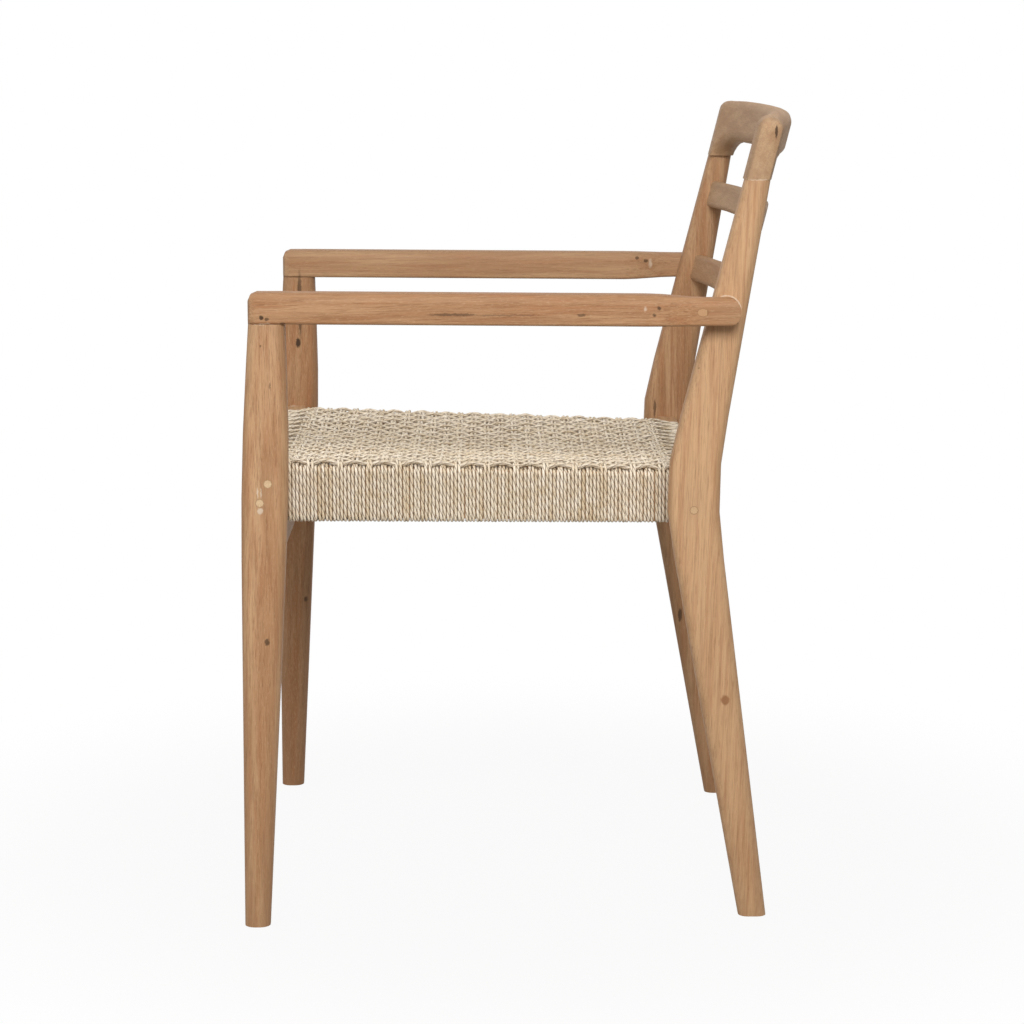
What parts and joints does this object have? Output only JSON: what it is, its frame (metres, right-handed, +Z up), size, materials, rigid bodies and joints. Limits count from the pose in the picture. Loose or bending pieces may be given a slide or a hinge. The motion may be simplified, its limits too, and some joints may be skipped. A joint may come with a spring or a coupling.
{
  "type": "garden armchair",
  "caption": "Low-backed armchair with a sculpted solid wood frame, a bowed crest rail over bowed slats and a woven cord seat wound over its rails",
  "frame": {"origin": "on the floor, under the middle of the chair's outline", "axes": "+Z up, -Y to the front where the sitter faces, +X to the sitter's left"},
  "size_m": [0.5766, 0.5596, 0.8072],
  "materials": {
    "teak": "sanded and thinly oiled, satin",
    "peg_wood": "pale end grain, sanded flush",
    "seat_cord": "twisted natural fibre cord, matt"
  },
  "bodies": {
    "root": {"front_leg_left": "teak", "front_leg_right": "teak", "back_leg_left": "teak", "back_leg_right": "teak", "armrest_left": "teak", "armrest_right": "teak", "crest_rail": "teak", "upper_back_slat": "teak", "lower_back_slat": "teak", "front_seat_rail": "teak", "back_seat_rail": "teak", "side_seat_rail_left": "teak", "side_seat_rail_right": "teak", "front_apron": "teak", "arm_tenons": "teak", "crest_tenons": "teak", "rail_pegs": "peg_wood", "arm_pegs": "peg_wood", "seat_weave": "seat_cord", "side_wrap_left": "seat_cord", "side_wrap_right": "seat_cord", "front_wrap": "seat_cord", "back_wrap": "seat_cord"}
  },
  "joints": []
}
